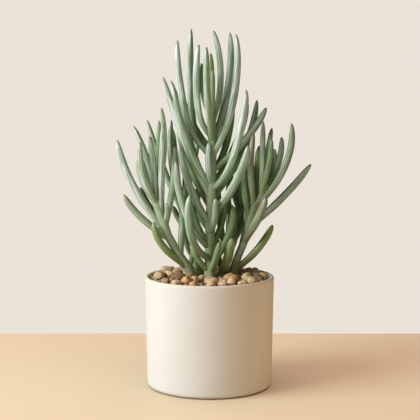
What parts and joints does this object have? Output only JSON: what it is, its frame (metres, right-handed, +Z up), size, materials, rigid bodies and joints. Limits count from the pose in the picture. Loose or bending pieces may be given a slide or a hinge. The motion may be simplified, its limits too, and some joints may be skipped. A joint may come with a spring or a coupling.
{
  "type": "potted senecio",
  "caption": "Upright succulent with slim blue-green finger leaves on branching stems, in a cream cylindrical ceramic pot topped with river pebbles.",
  "frame": {"origin": "middle of the pot's flat foot, on the surface that it stands on", "axes": "+Z up; +X to the right and -Y to the front, as the picture sees the plant"},
  "size_m": [0.1792, 0.12, 0.33],
  "materials": {
    "pot_ceramic": "matte, fine-grained, unglazed cream",
    "potting_soil": null,
    "river_pebbles": "smooth worn river pebbles in tan, rust, pinkish and grey-brown",
    "leaf": null
  },
  "bodies": {
    "root": {"pot": "pot_ceramic", "soil": "potting_soil", "gravel": "river_pebbles", "stem_main": "leaf", "stem_left": "leaf", "stem_right": "leaf", "stem_back_left": "leaf", "stem_back_right": "leaf"}
  },
  "joints": []
}
